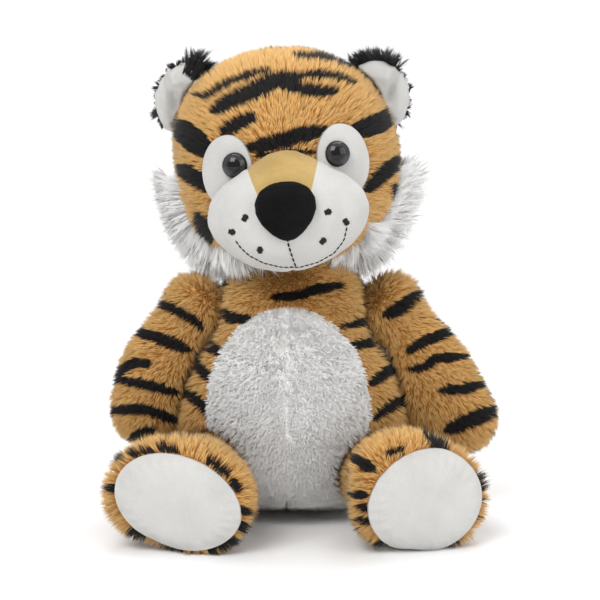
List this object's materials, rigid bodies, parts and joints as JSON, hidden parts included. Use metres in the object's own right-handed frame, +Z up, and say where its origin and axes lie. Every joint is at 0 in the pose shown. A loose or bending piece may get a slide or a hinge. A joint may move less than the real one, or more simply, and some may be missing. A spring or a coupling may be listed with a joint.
{
  "type": "plush tiger",
  "caption": "Seated stuffed tiger with round head, ruff, dished ears, white belly, flat-soled legs and tail; the pile covers hold fibre and a pellet bag that keeps it upright.",
  "frame": {"origin": "middle of the flat base panel that the tiger sits on", "axes": "+Z up, -Y the way the tiger faces, +X to the tiger's left"},
  "size_m": [0.2467, 0.2746, 0.2997],
  "materials": {
    "orange_fur": "matte",
    "white_fur": "matte",
    "black_fur": "matte",
    "white_velour": "matte",
    "tan_velour": "matte",
    "black_velour": "matte",
    "eye_plastic": "gloss",
    "washer_plastic": "matte",
    "fibre": "matte",
    "bag_cloth": "matte"
  },
  "bodies": {
    "torso": {"base_panel": "orange_fur", "torso_filling": "fibre", "pellet_bag": "bag_cloth", "belly_panel_left": "white_fur", "torso_panel_left": "orange_fur", "belly_panel_right": "white_fur", "torso_panel_right": "orange_fur"},
    "neck": {"neck_filling": "fibre"},
    "head": {"head_back_panel": "orange_fur", "head_face_panel": "orange_fur", "head_filling": "fibre", "muzzle_bridge": "tan_velour", "muzzle_filling": "fibre", "nose": "black_velour", "eye_patch_left": "white_velour", "eye_left": "eye_plastic", "eye_washer_left": "washer_plastic", "muzzle_panel_left": "white_velour", "ruff_left": "white_fur", "eye_patch_right": "white_velour", "eye_right": "eye_plastic", "eye_washer_right": "washer_plastic", "muzzle_panel_right": "white_velour", "ruff_right": "white_fur"},
    "tail": {"tail_cover": "orange_fur", "tail_filling": "fibre"},
    "ear_left": {"ear_back_left": "black_fur", "ear_front_left": "white_velour"},
    "arm_left": {"arm_cover_left": "orange_fur", "arm_filling_left": "fibre"},
    "leg_left": {"leg_cover_left": "orange_fur", "leg_filling_left": "fibre", "sole_left": "white_velour"},
    "ear_right": {"ear_back_right": "black_fur", "ear_front_right": "white_velour"},
    "arm_right": {"arm_cover_right": "orange_fur", "arm_filling_right": "fibre"},
    "leg_right": {"leg_cover_right": "orange_fur", "leg_filling_right": "fibre", "sole_right": "white_velour"}
  },
  "joints": [
    {"name": "head_turn", "type": "hinge", "parent": "torso", "child": "neck", "pos_m": [0, 0, 0.12], "axis": [0, 0, 1], "range_deg": [-30, 30], "stiffness_Nm_per_rad": 0.5},
    {"name": "head_nod", "type": "hinge", "parent": "neck", "child": "head", "pos_m": [0, 0, 0.12], "axis": [1, 0, 0], "range_deg": [-12, 12], "stiffness_Nm_per_rad": 0.9},
    {"name": "arm_raise_left", "type": "hinge", "parent": "torso", "child": "arm_left", "pos_m": [0.06, -0.004, 0.129], "axis": [0, -1, 0], "range_deg": [0, 60], "stiffness_Nm_per_rad": 0.12},
    {"name": "arm_raise_right", "type": "hinge", "parent": "torso", "child": "arm_right", "pos_m": [-0.06, -0.004, 0.129], "axis": [0, 1, 0], "range_deg": [0, 60], "stiffness_Nm_per_rad": 0.12},
    {"name": "leg_swing_left", "type": "hinge", "parent": "torso", "child": "leg_left", "pos_m": [0.051, -0.041, 0.034], "axis": [-0.9336, -0.3584, 0], "range_deg": [-20, 15], "stiffness_Nm_per_rad": 0.25},
    {"name": "leg_swing_right", "type": "hinge", "parent": "torso", "child": "leg_right", "pos_m": [-0.051, -0.041, 0.034], "axis": [-0.9703, 0.2419, 0], "range_deg": [-20, 15], "stiffness_Nm_per_rad": 0.25},
    {"name": "ear_fold_left", "type": "hinge", "parent": "head", "child": "ear_left", "pos_m": [0.05376, 0.002, 0.27007], "axis": [0.5252, 0.3746, -0.7641], "range_deg": [-10, 10], "stiffness_Nm_per_rad": 0.02},
    {"name": "ear_fold_right", "type": "hinge", "parent": "head", "child": "ear_right", "pos_m": [-0.06761, 0.002, 0.26675], "axis": [0.4845, -0.3746, 0.7906], "range_deg": [-10, 10], "stiffness_Nm_per_rad": 0.02},
    {"name": "tail_swing", "type": "hinge", "parent": "torso", "child": "tail", "pos_m": [0, 0.04718, 0.0115], "axis": [0, 0, 1], "range_deg": [-20, 20], "stiffness_Nm_per_rad": 0.05}
  ]
}
